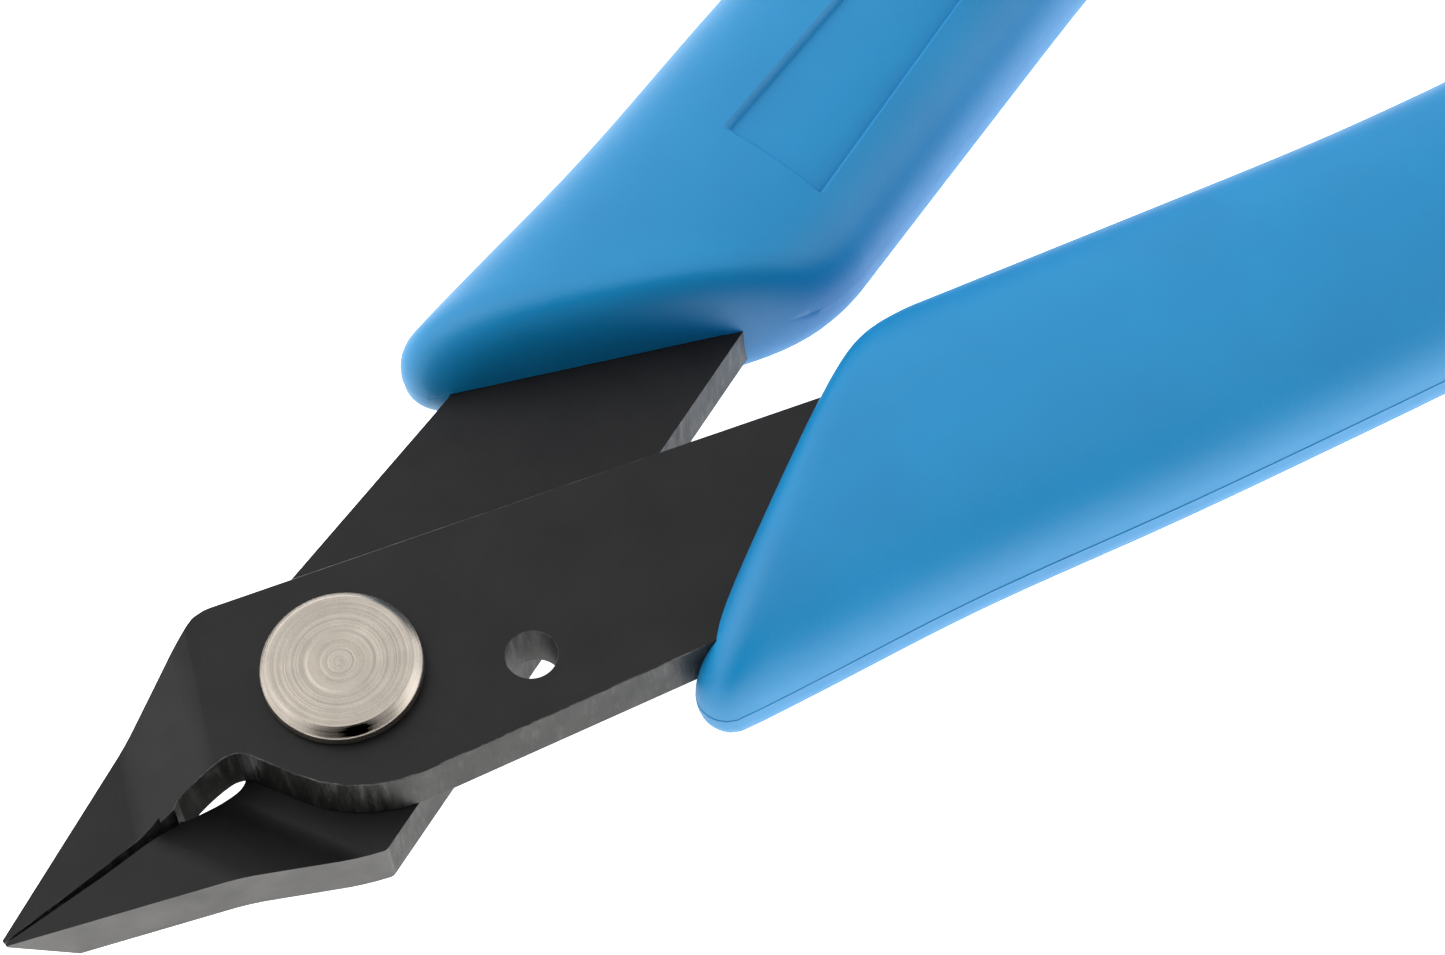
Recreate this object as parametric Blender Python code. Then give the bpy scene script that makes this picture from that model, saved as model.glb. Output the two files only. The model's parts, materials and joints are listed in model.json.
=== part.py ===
"""Tapered-head flush-cutting nippers, closed and lying flat: two levers, a rivet, two grips, a spring.

Metres, +Z up. X runs from the jaw tips to the grip ends. The front lever is the upper plate: its jaw is on
the +Y side and its grip on the -Y side. The rear lever is the same stamping turned half round about X.
Lengths in the outlines are millimetres measured from the pivot axis, in the plane where the levers meet.
"""

import math

import bmesh
import bpy
from mathutils import Matrix, Vector

MM = 0.001

# Plates, in millimetres
PLATE_THICKNESS = 3.175
LAP_GAP = 0.10
ROLL_RADIUS = 0.35
ROLL_STEPS = 3

# Head and jaws
JAW_REACH = 21.3
TIP_WIDTH = 0.16
FRONT_SHOULDER = (-3.66, 7.66)
REAR_SHOULDER = (-3.7, 7.83)
FRONT_SHOULDER_RADIUS = 2.0
REAR_SHOULDER_RADIUS = 0.45
HEAD_CORNER = (-3.78, -6.20)
HEAD_RADIUS = 7.6
BLADE_GAP = 0.06
BLADE_LINE = -0.17
BLADE_ROOT = -10.8
NOTCH_CORNER_X = -6.70
NOTCH_RADIUS = 1.3
FRONT_NOTCH_EDGE = 0.08
REAR_NOTCH_EDGE = 0.36
CUTTING_EDGE_HEIGHT = 0.1
CUTTING_EDGE_LAND = 0.04
CUTTER_OVERLAP = 0.01
BACK_BEVEL_WIDTH = 1.25
FRONT_FACE_EDGE = ((-JAW_REACH, -0.12), (-16.5, -0.08), (-13.0, 0.0), (BLADE_ROOT, 0.12))
REAR_FACE_EDGE = ((-JAW_REACH, 0.22), (-15.5, 0.44), (BLADE_ROOT, 0.44))
BLADE_OVERRUN = 1.0
BLADE_ROOT_RUNOUT = 0.4
TIP_BEVEL_START = 18.4
TIP_BEVEL_LEFT = 0.15

# The joggle that brings both jaws into one plane
JOGGLE_ANGLE = 25.0
JOGGLE_START = -7.7
JOGGLE_END = -11.5
JOGGLE_BLEND = 0.45

# Tangs, which run on inside the grips
TANG_OUTER_ANGLE = 14.2
TANG_INNER_ANGLE = 19.3
TANG_OUTER_END = 22.0
TONGUE_ANGLE = 14.0
TONGUE_CENTRE = (40.0, -11.4)
TONGUE_WIDTH = 9.0
TONGUE_STEP = 4.0
TONGUE_END = 78.0
TONGUE_RADII = (1.0, 2.0, 4.0, 4.0, 6.0)
POCKET_CLEARANCE = 0.25
POCKET_START = 12.0

# Rivet and holes
RIVET_HOLE_RADIUS = 2.45
RIVET_SHANK_RADIUS = 2.3
RIVET_HEAD_RADIUS = 4.15
RIVET_RIM_HEIGHT = 0.6
RIVET_CHAMFER = 0.45
RIVET_TAIL_RADIUS = 3.8
RIVET_TAIL_HEIGHT = 0.9
RIVET_TAIL_CROWN = ((1.0, 0.45), (0.93, 0.8), (0.78, 1.0))
SPRING_HOLE = (7.75, -5.5)
SPRING_HOLE_RADIUS = 1.35
ROUND_SEGMENTS = 48

# Grips
GRIP_HALF_THICKNESS = 5.5
GRIP_SECTION_POWER = 2.5
GRIP_END_ANGLE = 27.0
GRIP_END_DISTANCE = 16.5
GRIP_END_ROUNDING = 3.5
GRIP_END_POWER = 3.0
GRIP_LAND_ANGLE = math.radians(6)
GRIP_NOSE_RADIUS = 1.65
GRIP_CORNER_RADIUS = 7.5
GRIP_OUTER_POINT = (21.0, -15.6)
GRIP_OUTER_SLOPE = -0.225
GRIP_WAIST_X = 28.5
GRIP_WAIST_DEPTH = 0.40
GRIP_WAIST_LENGTH = 9.0
GRIP_WAIST_STEP = 2.0
GRIP_INNER_POINT = (47.0, -4.95)
GRIP_INNER_SLOPE = -0.285
GRIP_OUTER_BEND_X = 62.0
GRIP_INNER_BEND_X = 68.0
GRIP_BEND_RADIUS = 180.0
GRIP_TAIL_SLOPE = -0.13
GRIP_BUTT_X = 106.5
GRIP_BUTT_RADIUS = 6.5
FRONT_GRIP_SEAT = (-0.44, 0.28)
REAR_GRIP_SEAT = (0.0, 0.17)
GRIP_STATIONS = 26
GRIP_ROUNDED_STATIONS = 6
GRIP_SECTION_POINTS = 28

# Return spring
SPRING_WIRE_RADIUS = 0.45
SPRING_LEVEL = -1.45
SPRING_VERTEX = (12.9, -6.4)
SPRING_BEND_RADIUS = 1.1
SPRING_ANCHOR = (26.5, -9.6)
SPRING_CONTACT_X = 17.0
SPRING_CLEARANCE = 0.3
SPRING_TOE = 1.6
SPRING_TOE_LEAN = 0.7
SPRING_TOE_RADIUS = 0.6
SPRING_POCKET_RADIUS = 0.75
SPRING_POCKET_DEPTH = 14.0


def clear_scene():
    for obj in list(bpy.data.objects):
        bpy.data.objects.remove(obj, do_unlink=True)


def make_material(name, color, roughness, metallic):
    material = bpy.data.materials.new(name)
    material.use_nodes = True
    shader = material.node_tree.nodes["Principled BSDF"]
    shader.inputs["Base Color"].default_value = (*color, 1.0)
    shader.inputs["Roughness"].default_value = roughness
    shader.inputs["Metallic"].default_value = metallic
    material.diffuse_color = (*color, 1.0)
    return material


def make_object(name, mesh_builder, material, parent):
    """A mesh object, in metres, from a bmesh in millimetres."""
    bmesh.ops.scale(mesh_builder, vec=Vector((MM, MM, MM)), verts=mesh_builder.verts)
    bmesh.ops.recalc_face_normals(mesh_builder, faces=mesh_builder.faces)
    mesh = bpy.data.meshes.new(name)
    mesh_builder.to_mesh(mesh)
    mesh_builder.free()
    obj = bpy.data.objects.new(name, mesh)
    bpy.context.scene.collection.objects.link(obj)
    obj.parent = parent
    if material:
        mesh.materials.append(material)
        mesh.shade_smooth()
        mesh.set_sharp_from_angle(angle=math.radians(30))
    return obj


def make_cutter(name, mesh_builder, parent):
    cutter = make_object(name, mesh_builder, None, parent)
    cutter.hide_render = True
    cutter.display_type = "WIRE"
    return cutter


def cut(obj, *cutters):
    for cutter in cutters:
        modifier = obj.modifiers.new(cutter.name, "BOOLEAN")
        modifier.operation = "DIFFERENCE"
        modifier.solver = "EXACT"
        modifier.object = cutter


def heading(degrees):
    return Vector((math.cos(math.radians(degrees)), math.sin(math.radians(degrees))))


def meeting(point_a, direction_a, point_b, direction_b):
    """The point where two lines in the plane cross."""
    a, b = Vector(point_a), Vector(point_b)
    u, v = Vector(direction_a), Vector(direction_b)
    along = (b - a).cross(v) / u.cross(v)
    return a + u * along


def rounded(corners, step=12.0):
    """A closed outline from (x, y, radius) corners, with an arc at each corner that has a radius."""
    outline = []
    for index, (x, y, radius) in enumerate(corners):
        here = Vector((x, y))
        if not radius:
            outline.append(here)
            continue
        before = (Vector(corners[index - 1][:2]) - here).normalized()
        after = (Vector(corners[(index + 1) % len(corners)][:2]) - here).normalized()
        half = before.angle(after) / 2
        centre = here + (before + after).normalized() * radius / math.sin(half)
        start = here + before * radius / math.tan(half) - centre
        turn = math.pi - 2 * half
        if start.cross(here + after * radius / math.tan(half) - centre) < 0:
            turn = -turn
        count = max(2, math.ceil(abs(math.degrees(turn)) / step))
        for i in range(count + 1):
            outline.append(centre + Matrix.Rotation(turn * i / count, 2) @ start)
    return outline


def grown(outline, distance):
    """The closed outline, which runs counterclockwise, moved outwards by distance."""
    moved = []
    for index, here in enumerate(outline):
        before = (here - outline[index - 1]).normalized()
        after = (outline[(index + 1) % len(outline)] - here).normalized()
        bisector = (before + after).normalized()
        out = Vector((bisector.y, -bisector.x))
        moved.append(here + out * distance / max(0.2, out.dot(Vector((before.y, -before.x)))))
    return moved


def prism(outline, bottom, top):
    builder = bmesh.new()
    base = builder.faces.new([builder.verts.new((x, y, bottom)) for x, y in outline])
    lifted = bmesh.ops.extrude_face_region(builder, geom=[base])
    verts = [item for item in lifted["geom"] if isinstance(item, bmesh.types.BMVert)]
    bmesh.ops.translate(builder, verts=verts, vec=(0, 0, top - bottom))
    return builder


def turned(profile, segments=ROUND_SEGMENTS):
    """A solid of revolution about Z from (radius, height) points. It begins and ends on the axis."""
    builder = bmesh.new()
    rings = []
    for radius, height in profile:
        if radius == 0:
            rings.append([builder.verts.new((0, 0, height))])
            continue
        rings.append([
            builder.verts.new((*(heading(360 * i / segments) * radius), height)) for i in range(segments)
        ])
    for lower, upper in zip(rings, rings[1:]):
        for i in range(segments):
            j = (i + 1) % segments
            corners = [ring[k % len(ring)] for ring, k in ((lower, i), (lower, j), (upper, j), (upper, i))]
            builder.faces.new(list(dict.fromkeys(corners)))
    return builder


def post(centre, radius, bottom, top):
    builder = turned([(0, bottom), (radius, bottom), (radius, top), (0, top)])
    bmesh.ops.translate(builder, verts=builder.verts, vec=(*centre, 0))
    return builder


# --- Levers -------------------------------------------------------------------------------------------


def tang_corners(shoulder):
    """The tang, from its outer edge round the end of the tongue and back to its inner edge."""
    outer_way = heading(-TANG_OUTER_ANGLE)
    inner_way = heading(-TANG_INNER_ANGLE)
    tongue_way = heading(-TONGUE_ANGLE)
    side = Vector((-tongue_way.y, tongue_way.x)) * TONGUE_WIDTH / 2
    tongue_outer = Vector(TONGUE_CENTRE) - side
    tongue_inner = Vector(TONGUE_CENTRE) + side
    outer_end = Vector(HEAD_CORNER) + outer_way * (TANG_OUTER_END - HEAD_CORNER[0]) / outer_way.x
    outer_step = tongue_outer + tongue_way * (TANG_OUTER_END + TONGUE_STEP - tongue_outer.x) / tongue_way.x
    far_outer = tongue_outer + tongue_way * (TONGUE_END - TONGUE_CENTRE[0])
    far_inner = tongue_inner + tongue_way * (TONGUE_END - TONGUE_CENTRE[0])
    neck = meeting(shoulder, inner_way, tongue_inner, tongue_way)
    corners = (outer_end, outer_step, far_outer, far_inner, neck)
    return [(*corner, radius) for corner, radius in zip(corners, TONGUE_RADII)]


def lever_outline(shoulder, shoulder_radius, notch_edge, blade):
    """The blank of a lever, counterclockwise, with its jaw at +Y and its tang at -Y."""
    return rounded(
        [
            (-JAW_REACH, blade + TIP_WIDTH, 0),
            (-JAW_REACH, blade, 0),
            (BLADE_ROOT, blade, 0),
            (BLADE_ROOT + BLADE_ROOT_RUNOUT, notch_edge, 0),
            (NOTCH_CORNER_X, notch_edge, NOTCH_RADIUS),
            (*HEAD_CORNER, HEAD_RADIUS),
            *tang_corners(shoulder),
            (*shoulder, shoulder_radius),
        ]
    )


def joggle(distance):
    """How far the plate has stepped, from 0 to 1, at a distance along the joggle's direction."""
    corners = (JOGGLE_START, JOGGLE_END)
    shares = [(distance - corners[0]) / (corners[1] - corners[0])]
    for shift in (-JOGGLE_BLEND, JOGGLE_BLEND):
        shares.append((distance + shift - corners[0]) / (corners[1] - corners[0]))
    return sum(min(1.0, max(0.0, share)) for share in shares) / len(shares)


def joggle_stations():
    stations = []
    for corner in (JOGGLE_START, JOGGLE_END):
        stations += [corner - JOGGLE_BLEND, corner, corner + JOGGLE_BLEND]
    return stations


def is_rolled(edge, top, shoulder):
    """Whether an edge of the blank is on the outer face, but not on the blade or the ground jaw flank."""
    if any(abs(vert.co.z - top) > 1e-6 for vert in edge.verts):
        return False
    on_blade = min(vert.co.x for vert in edge.verts) < BLADE_ROOT - 1e-3
    on_flank = all(vert.co.x < shoulder[0] + ROLL_RADIUS and vert.co.y > NOTCH_RADIUS for vert in edge.verts)
    return not on_blade and not on_flank


def lever_blank(shoulder, shoulder_radius, notch_edge, blade):
    """The plate with its rolled edge on the outer face and its jaw stepped down by half the thickness."""
    bottom = LAP_GAP / 2
    top = bottom + PLATE_THICKNESS
    outline = lever_outline(shoulder, shoulder_radius, notch_edge, blade)
    builder = prism(outline, bottom, top)
    rolled = [edge for edge in builder.edges if is_rolled(edge, top, shoulder)]
    bmesh.ops.bevel(
        builder, geom=rolled, offset=ROLL_RADIUS, offset_type="OFFSET", segments=ROLL_STEPS, profile=0.5,
        affect="EDGES", clamp_overlap=True,
    )
    along = Vector((*heading(-JOGGLE_ANGLE), 0))
    for station in joggle_stations():
        everything = list(builder.verts) + list(builder.edges) + list(builder.faces)
        bmesh.ops.bisect_plane(builder, geom=everything, dist=1e-5, plane_co=along * station, plane_no=along)
    for vert in builder.verts:
        vert.co.z -= (PLATE_THICKNESS / 2 + bottom) * joggle(vert.co.dot(along))
    return builder


def blade_cutter(side, edge, face_height, face_edges):
    """Takes the corner off a blade, from its cutting edge out to the face at face_height.

    face_edges gives where the bevel meets that face as (x, y) stations from the tip to the blade's root.
    """
    builder = bmesh.new()
    start = CUTTING_EDGE_HEIGHT if face_height > 0 else CUTTING_EDGE_HEIGHT - CUTTING_EDGE_LAND
    beyond = face_height + math.copysign(0.4, face_height)
    rings = []
    for x, y in face_edges:
        rise = (beyond - start) / (face_height - start)
        ring = [
            (x, side * (edge - 0.5), start),
            (x, side * (edge - CUTTER_OVERLAP), start),
            (x, side * (edge + (y - edge) * rise), beyond),
            (x, side * (edge - 0.5), beyond),
        ]
        rings.append([builder.verts.new(point) for point in ring])
    for near, far in zip(rings, rings[1:]):
        for i in range(4):
            j = (i + 1) % 4
            builder.faces.new([near[i], near[j], far[j], far[i]])
    builder.faces.new(rings[0])
    builder.faces.new(rings[-1])
    return builder


def tip_cutter():
    """Slopes the back of both jaw tips up to the front face."""
    half = PLATE_THICKNESS / 2
    low = Vector((-TIP_BEVEL_START, -half))
    high = Vector((-JAW_REACH, half - TIP_BEVEL_LEFT))
    way = (high - low).normalized()
    outline = [low - way * 1.5, Vector((low.x - 6.0, low.y - 1.5)), high + way * 1.5]
    builder = bmesh.new()
    faces = []
    for y in (-4.0, 4.0):
        faces.append([builder.verts.new((x, y, z)) for x, z in outline])
        builder.faces.new(faces[-1])
    for i in range(3):
        j = (i + 1) % 3
        builder.faces.new([faces[0][i], faces[0][j], faces[1][j], faces[1][i]])
    return builder


def make_levers(front_body, rear_body, oxide):
    top = LAP_GAP + PLATE_THICKNESS
    half = PLATE_THICKNESS / 2
    front_blade = BLADE_GAP / 2 + BLADE_LINE
    rear_blade = BLADE_GAP / 2 - BLADE_LINE
    blank = lever_blank(FRONT_SHOULDER, FRONT_SHOULDER_RADIUS, FRONT_NOTCH_EDGE, front_blade)
    front = make_object("front_lever", blank, oxide, front_body)
    blank = lever_blank(REAR_SHOULDER, REAR_SHOULDER_RADIUS, REAR_NOTCH_EDGE, rear_blade)
    bmesh.ops.rotate(blank, verts=blank.verts, cent=(0, 0, 0), matrix=Matrix.Rotation(math.pi, 3, "X"))
    rear = make_object("rear_lever", blank, oxide, rear_body)

    start = -JAW_REACH - BLADE_OVERRUN
    back = [(start, BACK_BEVEL_WIDTH), (BLADE_ROOT, BACK_BEVEL_WIDTH)]
    rivet_hole = make_cutter("rivet_hole", post((0, 0), RIVET_HOLE_RADIUS, -top - 1, top + 1), front_body)
    spring_hole = make_cutter("spring_hole", post(SPRING_HOLE, SPRING_HOLE_RADIUS, -1, top + 1), front_body)
    tip_slope = make_cutter("tip_slope", tip_cutter(), front_body)
    front_face = [(start, FRONT_FACE_EDGE[0][1]), *FRONT_FACE_EDGE]
    rear_face = [(start, REAR_FACE_EDGE[0][1]), *REAR_FACE_EDGE]
    front_cutters = (
        make_cutter("front_blade_face", blade_cutter(1, front_blade, half, front_face), front_body),
        make_cutter("front_blade_back", blade_cutter(1, front_blade, -half, back), front_body),
    )
    rear_cutters = (
        make_cutter("rear_blade_face", blade_cutter(-1, rear_blade, half, rear_face), front_body),
        make_cutter("rear_blade_back", blade_cutter(-1, rear_blade, -half, back), front_body),
    )
    cut(front, rivet_hole, spring_hole, *front_cutters, tip_slope)
    cut(rear, rivet_hole, *rear_cutters, tip_slope)


def make_rivet(front_body, steel):
    face = PLATE_THICKNESS + LAP_GAP / 2 + LAP_GAP
    rim = face + RIVET_RIM_HEIGHT
    profile = [
        (0, rim + RIVET_CHAMFER),
        (RIVET_HEAD_RADIUS - RIVET_CHAMFER, rim + RIVET_CHAMFER),
        (RIVET_HEAD_RADIUS, rim),
        (RIVET_HEAD_RADIUS, face),
        (RIVET_SHANK_RADIUS, face),
        (RIVET_SHANK_RADIUS, -face),
        (RIVET_TAIL_RADIUS, -face),
    ]
    for across, down in RIVET_TAIL_CROWN:
        profile.append((RIVET_TAIL_RADIUS * across, -face - RIVET_TAIL_HEIGHT * down))
    profile.append((0, -face - RIVET_TAIL_HEIGHT))
    make_object("pivot_rivet", turned(profile), steel, front_body)


# --- Grips --------------------------------------------------------------------------------------------


def grip_corners():
    """The corners of the grip's outline: nose, outer bend, both butt corners, inner bend, front corner."""
    end_way = heading(GRIP_END_ANGLE)
    end_point = Vector((end_way.y, -end_way.x)) * GRIP_END_DISTANCE
    outer_way = Vector((1, GRIP_OUTER_SLOPE))
    inner_way = Vector((1, GRIP_INNER_SLOPE))
    tail_way = Vector((1, GRIP_TAIL_SLOPE))
    butt_way = Vector((GRIP_TAIL_SLOPE, -1))
    nose = meeting(end_point, end_way, GRIP_OUTER_POINT, outer_way)
    outer_bend = Vector(GRIP_OUTER_POINT) + outer_way * (GRIP_OUTER_BEND_X - GRIP_OUTER_POINT[0])
    inner_bend = Vector(GRIP_INNER_POINT) + inner_way * (GRIP_INNER_BEND_X - GRIP_INNER_POINT[0])
    middle = (outer_bend + inner_bend) / 2
    butt_point = middle + tail_way * (GRIP_BUTT_X - middle.x)
    outer_butt = meeting(outer_bend, tail_way, butt_point, butt_way)
    inner_butt = meeting(inner_bend, tail_way, butt_point, butt_way)
    front = meeting(end_point, end_way, GRIP_INNER_POINT, inner_way)
    return nose, outer_bend, outer_butt, inner_butt, inner_bend, front


def grip_sides():
    """The grip's outer and inner edges as dense paths from its slanted front end to its butt end."""
    nose, outer_bend, outer_butt, inner_butt, inner_bend, front = grip_corners()
    outline = rounded(
        [
            (*nose, GRIP_NOSE_RADIUS),
            (*outer_bend, GRIP_BEND_RADIUS),
            (*outer_butt, GRIP_BUTT_RADIUS),
            (*inner_butt, GRIP_BUTT_RADIUS),
            (*inner_bend, GRIP_BEND_RADIUS),
            (*front, GRIP_CORNER_RADIUS),
        ],
        step=2.0,
    )
    near_outer_butt = [(point - outer_butt).length < (point - inner_butt).length for point in outline]
    butt_start = max(i for i, near in enumerate(near_outer_butt) if near) + 1
    outer, inner = outline[:butt_start], outline[:butt_start - 1:-1]
    return waisted(outer), inner


def waisted(outer):
    """The outer edge with a shallow hollow for the fingers. Its straight stretch gets points to bend at."""
    route = [outer[0]]
    for point in outer[1:]:
        gap = point - route[-1]
        steps = max(1, round(gap.length / GRIP_WAIST_STEP))
        route += [route[-1] + gap * i / steps for i in range(1, steps + 1)]
    for point in route:
        point.y += GRIP_WAIST_DEPTH * math.exp(-(((point.x - GRIP_WAIST_X) / GRIP_WAIST_LENGTH) ** 2))
    return route


def at_depth(path, point, inward, depth):
    """The first point of a path that lies depth beyond the line through point, measured along inward."""
    for near, far in zip(path, path[1:]):
        a, b = (near - point).dot(inward), (far - point).dot(inward)
        if a <= depth <= b and b > a:
            return near.lerp(far, (depth - a) / (b - a))
    return path[0].copy()


def grip_chords():
    """(outer point, inner point, share of the full thickness) for each station along a grip."""
    outer, inner = grip_sides()
    power = 2 / GRIP_END_POWER
    ends = (
        (outer, inner, outer[0], (inner[0] - outer[0])),
        (outer[::-1], inner[::-1], outer[-1], (inner[-1] - outer[-1])),
    )
    groups = []
    for outer_path, inner_path, start, across in ends:
        inward = Vector((across.y, -across.x)).normalized()
        if inward.dot(outer_path[len(outer_path) // 2] - start) < 0:
            inward.negate()
        group = []
        for i in range(GRIP_ROUNDED_STATIONS + 1):
            angle = GRIP_LAND_ANGLE + (math.pi / 2 - GRIP_LAND_ANGLE) * i / GRIP_ROUNDED_STATIONS
            inset = math.cos(GRIP_LAND_ANGLE) ** power - max(0.0, math.cos(angle)) ** power
            height = math.sin(angle) ** power
            depth = inset * GRIP_END_ROUNDING
            outer_point = at_depth(outer_path, start, inward, depth)
            inner_point = at_depth(inner_path, start, inward, depth)
            group.append((outer_point, inner_point, height))
        groups.append(group)
    front, butt = groups
    middle = GRIP_STATIONS - 2 * GRIP_ROUNDED_STATIONS
    chords = list(front)
    for i in range(1, middle):
        share = i / middle
        chords.append((
            along_path(outer, front[-1][0], butt[-1][0], share),
            along_path(inner, front[-1][1], butt[-1][1], share),
            1.0,
        ))
    return chords + butt[::-1]


def along_path(path, start, end, share):
    """The point a share of the way along a path, between two points on it."""
    first = min(range(len(path)), key=lambda i: (path[i] - start).length)
    last = min(range(len(path)), key=lambda i: (path[i] - end).length)
    route = [start] + path[first + 1 : last] + [end]
    lengths = [(b - a).length for a, b in zip(route, route[1:])]
    target = share * sum(lengths)
    for near, far, length in zip(route, route[1:], lengths):
        if target <= length:
            return near.lerp(far, target / length if length else 0)
        target -= length
    return end.copy()


def grip_body():
    """A soft pillow over the chords: each section is a superellipse, and a narrow flat closes each end."""
    builder = bmesh.new()
    rings = []
    power = 2 / GRIP_SECTION_POWER
    for outer, inner, share in grip_chords():
        centre, reach = (outer + inner) / 2, (outer - inner) / 2
        ring = []
        for i in range(GRIP_SECTION_POINTS):
            angle = 2 * math.pi * i / GRIP_SECTION_POINTS
            across = math.copysign(abs(math.cos(angle)) ** power, math.cos(angle))
            up = math.copysign(abs(math.sin(angle)) ** power, math.sin(angle))
            point = centre + reach * across
            ring.append(builder.verts.new((point.x, point.y, GRIP_HALF_THICKNESS * share * up)))
        rings.append(ring)
    for near, far in zip(rings, rings[1:]):
        for i in range(GRIP_SECTION_POINTS):
            j = (i + 1) % GRIP_SECTION_POINTS
            builder.faces.new([near[i], near[j], far[j], far[i]])
    builder.faces.new(rings[0])
    builder.faces.new(rings[-1])
    return builder


def tang_pocket():
    """The room for a tang inside a grip."""
    outer_way = heading(-TANG_OUTER_ANGLE)
    inner_way = heading(-TANG_INNER_ANGLE)
    outer_start = Vector(HEAD_CORNER) + outer_way * POCKET_START
    inner_start = Vector(REAR_SHOULDER) + inner_way * POCKET_START
    outline = rounded([(*outer_start, 0), *tang_corners(REAR_SHOULDER), (*inner_start, 0)])
    bottom = LAP_GAP / 2 - POCKET_CLEARANCE
    return prism(grown(outline, POCKET_CLEARANCE), bottom, bottom + PLATE_THICKNESS + 2 * POCKET_CLEARANCE)


def make_grips(front_body, rear_body, rubber):
    half_turn = Matrix.Rotation(math.pi, 3, "X")
    seats = (("front", front_body, None, FRONT_GRIP_SEAT), ("rear", rear_body, half_turn, REAR_GRIP_SEAT))
    for name, body, turn, seat in seats:
        shape, pocket = grip_body(), tang_pocket()
        if turn:
            for builder in (shape, pocket):
                bmesh.ops.rotate(builder, verts=builder.verts, cent=(0, 0, 0), matrix=turn)
        bmesh.ops.translate(shape, verts=shape.verts, vec=(*seat, 0))
        grip = make_object(f"{name}_grip", shape, rubber, body)
        cut(grip, make_cutter(f"{name}_grip_pocket", pocket, body))
        if name == "front":
            cut(grip, make_cutter("spring_pocket", spring_pocket(), body))


# --- Return spring ------------------------------------------------------------------------------------


def spring_route():
    """The wire's centre line in plan, from its end in the front grip to its toe on the rear lever."""
    anchor, vertex = Vector(SPRING_ANCHOR), Vector(SPRING_VERTEX)
    inner_way = heading(TANG_INNER_ANGLE)
    edge_point = Vector((REAR_SHOULDER[0], -REAR_SHOULDER[1]))
    away = Vector((inner_way.y, -inner_way.x))
    contact = edge_point + inner_way * (SPRING_CONTACT_X - edge_point.x) / inner_way.x
    contact += away * (SPRING_WIRE_RADIUS + SPRING_CLEARANCE)
    toe_end = contact + (inner_way + away * SPRING_TOE_LEAN).normalized() * SPRING_TOE
    corners = [(*anchor, 0), (*vertex, SPRING_BEND_RADIUS), (*contact, SPRING_TOE_RADIUS), (*toe_end, 0)]
    return rounded(corners, step=15.0)


def spring_pocket():
    """The hole in the front grip that holds the wire's end."""
    anchor, vertex = Vector(SPRING_ANCHOR), Vector(SPRING_VERTEX)
    way = (vertex - anchor).normalized()
    builder = bmesh.new()
    bmesh.ops.create_cone(
        builder, cap_ends=True, segments=16, radius1=SPRING_POCKET_RADIUS, radius2=SPRING_POCKET_RADIUS,
        depth=SPRING_POCKET_DEPTH,
    )
    quarter = Vector((0, 0, 1)).rotation_difference(Vector((*way, 0))).to_matrix()
    bmesh.ops.rotate(builder, verts=builder.verts, cent=(0, 0, 0), matrix=quarter)
    middle = anchor + way * (SPRING_POCKET_DEPTH / 2 - SPRING_CLEARANCE * 2)
    bmesh.ops.translate(builder, verts=builder.verts, vec=(*middle, SPRING_LEVEL))
    return builder


def make_spring(front_body, steel):
    curve = bpy.data.curves.new("return_spring", "CURVE")
    curve.dimensions = "3D"
    curve.bevel_depth = SPRING_WIRE_RADIUS * MM
    curve.bevel_resolution = 3
    curve.use_fill_caps = True
    route = spring_route()
    spline = curve.splines.new("POLY")
    spline.points.add(len(route) - 1)
    for point, (x, y) in zip(spline.points, route):
        point.co = (x * MM, y * MM, SPRING_LEVEL * MM, 1)
    curve.materials.append(steel)
    spring = bpy.data.objects.new("return_spring", curve)
    bpy.context.scene.collection.objects.link(spring)
    spring.parent = front_body


def make_body(name, location):
    body = bpy.data.objects.new(name, None)
    body.location = location
    body.empty_display_size = 10 * MM
    bpy.context.scene.collection.objects.link(body)
    return body


def main():
    clear_scene()
    oxide = make_material("black_oxide_steel", (0.028, 0.028, 0.031), 0.42, 0.6)
    steel = make_material("turned_steel", (0.55, 0.52, 0.48), 0.32, 1.0)
    rubber = make_material("blue_grip_rubber", (0.03, 0.27, 0.62), 0.45, 0.0)
    wire = make_material("spring_wire", (0.20, 0.20, 0.21), 0.35, 1.0)
    butt = max(point.x for path in grip_sides() for point in path)
    pivot = Vector(((JAW_REACH - butt) / 2 * MM, 0, GRIP_HALF_THICKNESS * MM))
    front_body = make_body("front_half", pivot)
    rear_body = make_body("rear_half", pivot)
    make_levers(front_body, rear_body, oxide)
    make_rivet(front_body, steel)
    make_grips(front_body, rear_body, rubber)
    make_spring(front_body, wire)


main()
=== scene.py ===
"""Flush-cutting nippers in the studio: fine meshes, materials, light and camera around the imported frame.

Outlines are in millimetres from the pivot axis, in the plane where the two levers meet, as in the frame's own
design. The front lever is the upper plate: its jaw is on +Y and its grip on -Y.
"""

import json
import math

import bmesh
import bpy
from mathutils import Matrix, Vector


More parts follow.
